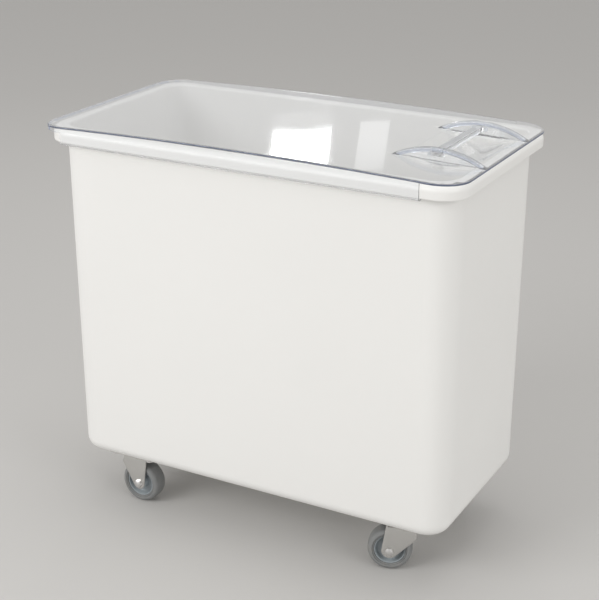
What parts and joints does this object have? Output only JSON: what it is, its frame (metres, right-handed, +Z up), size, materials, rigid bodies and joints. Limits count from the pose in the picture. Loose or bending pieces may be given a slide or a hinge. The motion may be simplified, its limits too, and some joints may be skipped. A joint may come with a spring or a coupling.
{
  "type": "ingredient bin",
  "caption": "Rolling ingredient bin: white moulded tub with a rolled rim, a clear lid that slides back along the rim by its raised grip, and rigid and swivel casters.",
  "frame": {"origin": "on the floor under the middle of the whole bin", "axes": "+X along the bin towards the lid's grip and the swivel casters, +Y across it, +Z up"},
  "size_m": [0.761, 0.4086, 0.7336],
  "materials": {
    "white_polyethylene": "satin, faintly textured mould finish",
    "clear_polycarbonate": "clear, polished",
    "zinc_plate": "zinc-plated pressed steel",
    "bright_steel": "bright zinc-plated fasteners",
    "brass_insert": "machined",
    "grey_rubber": "non-marking, matt",
    "grey_core": "moulded",
    "natural_nylon": "moulded",
    "polished_steel": "polished balls"
  },
  "bodies": {
    "bin": {"bin_tub": "white_polyethylene", "threaded_inserts": "brass_insert", "caster_bolts": "bright_steel", "caster_washers": "bright_steel", "rigid_fork_front": "zinc_plate", "axle_bolt_rigid_front": "bright_steel", "axle_nut_rigid_front": "bright_steel", "axle_sleeve_rigid_front": "bright_steel", "swivel_plate_front": "zinc_plate", "ball_race_front": "zinc_plate", "race_balls_front": "polished_steel", "kingpin_front": "bright_steel", "rigid_fork_rear": "zinc_plate", "axle_bolt_rigid_rear": "bright_steel", "axle_nut_rigid_rear": "bright_steel", "axle_sleeve_rigid_rear": "bright_steel", "swivel_plate_rear": "zinc_plate", "ball_race_rear": "zinc_plate", "race_balls_rear": "polished_steel", "kingpin_rear": "bright_steel"},
    "lid": {"sliding_lid": "clear_polycarbonate"},
    "wheel_rigid_front": {"tyre_rigid_front": "grey_rubber", "wheel_core_rigid_front": "grey_core", "wheel_bush_rigid_front": "natural_nylon"},
    "fork_swivel_front": {"swivel_fork_front": "zinc_plate", "axle_bolt_swivel_front": "bright_steel", "axle_nut_swivel_front": "bright_steel", "axle_sleeve_swivel_front": "bright_steel"},
    "wheel_swivel_front": {"tyre_swivel_front": "grey_rubber", "wheel_core_swivel_front": "grey_core", "wheel_bush_swivel_front": "natural_nylon"},
    "wheel_rigid_rear": {"tyre_rigid_rear": "grey_rubber", "wheel_core_rigid_rear": "grey_core", "wheel_bush_rigid_rear": "natural_nylon"},
    "fork_swivel_rear": {"swivel_fork_rear": "zinc_plate", "axle_bolt_swivel_rear": "bright_steel", "axle_nut_swivel_rear": "bright_steel", "axle_sleeve_swivel_rear": "bright_steel"},
    "wheel_swivel_rear": {"tyre_swivel_rear": "grey_rubber", "wheel_core_swivel_rear": "grey_core", "wheel_bush_swivel_rear": "natural_nylon"}
  },
  "joints": [
    {"name": "lid_slide", "type": "slide", "parent": "bin", "child": "lid", "axis": [-1, 0, 0], "range_m": [0, 0.45]},
    {"name": "spin_rigid_front", "type": "hinge", "parent": "bin", "child": "wheel_rigid_front", "pos_m": [-0.246, -0.124, 0.038], "axis": [0, -1, 0], "continuous": true},
    {"name": "turn_swivel_front", "type": "hinge", "parent": "bin", "child": "fork_swivel_front", "pos_m": [0.276, -0.111, 0.09], "axis": [0, 0, 1], "continuous": true},
    {"name": "spin_swivel_front", "type": "hinge", "parent": "fork_swivel_front", "child": "wheel_swivel_front", "pos_m": [0.25157, -0.11989, 0.038], "axis": [0.342, -0.9397, 0], "continuous": true},
    {"name": "spin_rigid_rear", "type": "hinge", "parent": "bin", "child": "wheel_rigid_rear", "pos_m": [-0.246, 0.124, 0.038], "axis": [0, -1, 0], "continuous": true},
    {"name": "turn_swivel_rear", "type": "hinge", "parent": "bin", "child": "fork_swivel_rear", "pos_m": [0.276, 0.111, 0.09], "axis": [0, 0, 1], "continuous": true},
    {"name": "spin_swivel_rear", "type": "hinge", "parent": "fork_swivel_rear", "child": "wheel_swivel_rear", "pos_m": [0.25157, 0.10211, 0.038], "axis": [0.342, -0.9397, 0], "continuous": true}
  ]
}
